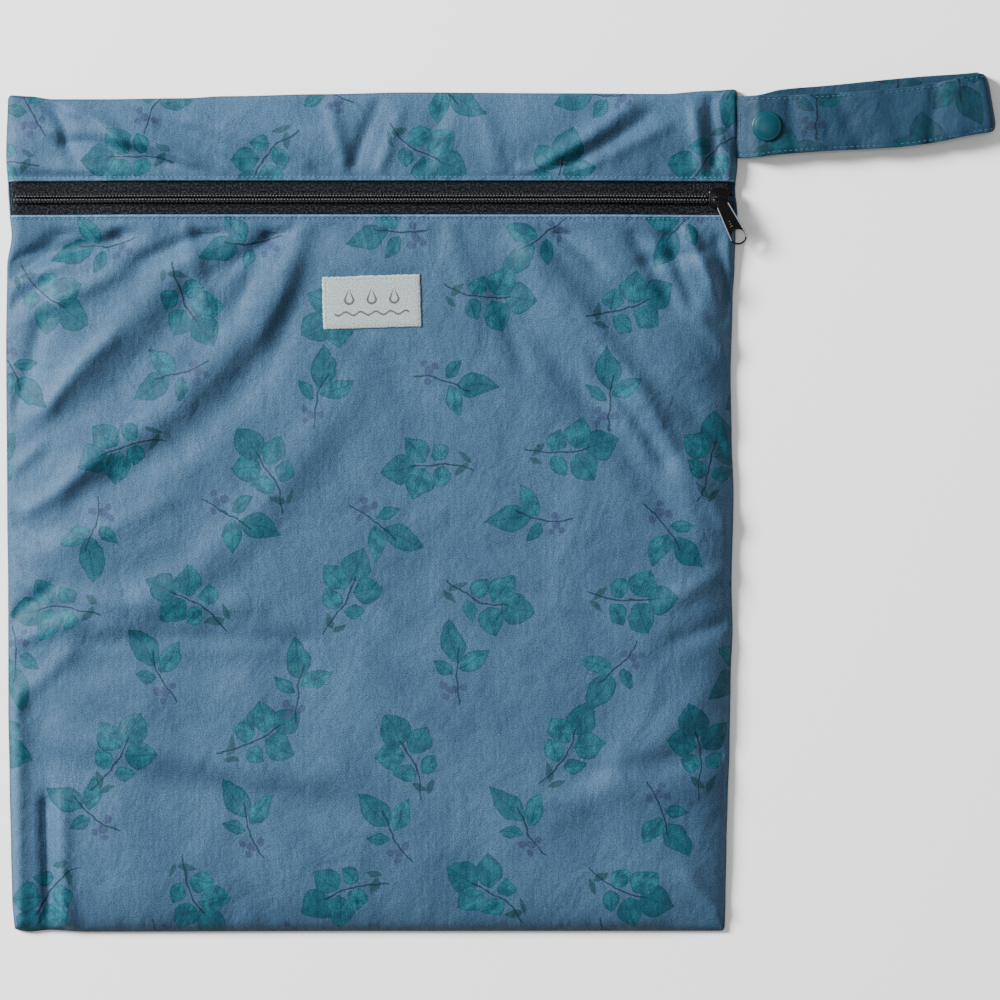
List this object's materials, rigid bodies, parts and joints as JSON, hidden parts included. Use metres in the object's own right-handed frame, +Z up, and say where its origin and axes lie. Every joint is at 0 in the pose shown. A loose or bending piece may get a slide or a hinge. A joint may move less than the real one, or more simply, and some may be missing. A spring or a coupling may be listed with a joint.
{
  "type": "cloth wet bag",
  "caption": "Flat zip bag of coated cloth with a loop strap closed by a snap, for carrying wet washing or used cloth diapers.",
  "frame": {"origin": "middle of the bag's back face, on the surface it lies on", "axes": "+X across the bag towards the strap, +Y along the bag towards the zip end, +Z up out of the front"},
  "size_m": [0.4103, 0.356, 0.0134],
  "materials": {
    "bag_cloth": "coated knit with a satin sheen and a scattered leaf and berry print",
    "zip_tape": "black woven tape",
    "zip_coil": "black nylon coil",
    "zip_metal": "black lacquer",
    "snap_plastic": "glossy teal moulded plastic",
    "label_cloth": "off-white woven twill"
  },
  "bodies": {
    "bag": {"back_panel": "bag_cloth", "front_lower_panel": "bag_cloth", "front_upper_panel": "bag_cloth", "zip_tape_upper": "zip_tape", "zip_tape_lower": "zip_tape", "zip_coil_upper": "zip_coil", "zip_coil_lower": "zip_coil", "zip_slider": "zip_metal", "strap": "bag_cloth", "snap_cap": "snap_plastic", "snap_socket": "snap_plastic", "snap_stud": "snap_plastic", "snap_back_cap": "snap_plastic", "label": "label_cloth"},
    "pull": {"zip_pull": "zip_metal"}
  },
  "joints": [
    {"name": "pull_swing", "type": "hinge", "parent": "bag", "child": "pull", "pos_m": [0.1434, 0.129, 0.00915], "axis": [-1, 0, 0], "range_deg": [0, 180]}
  ]
}
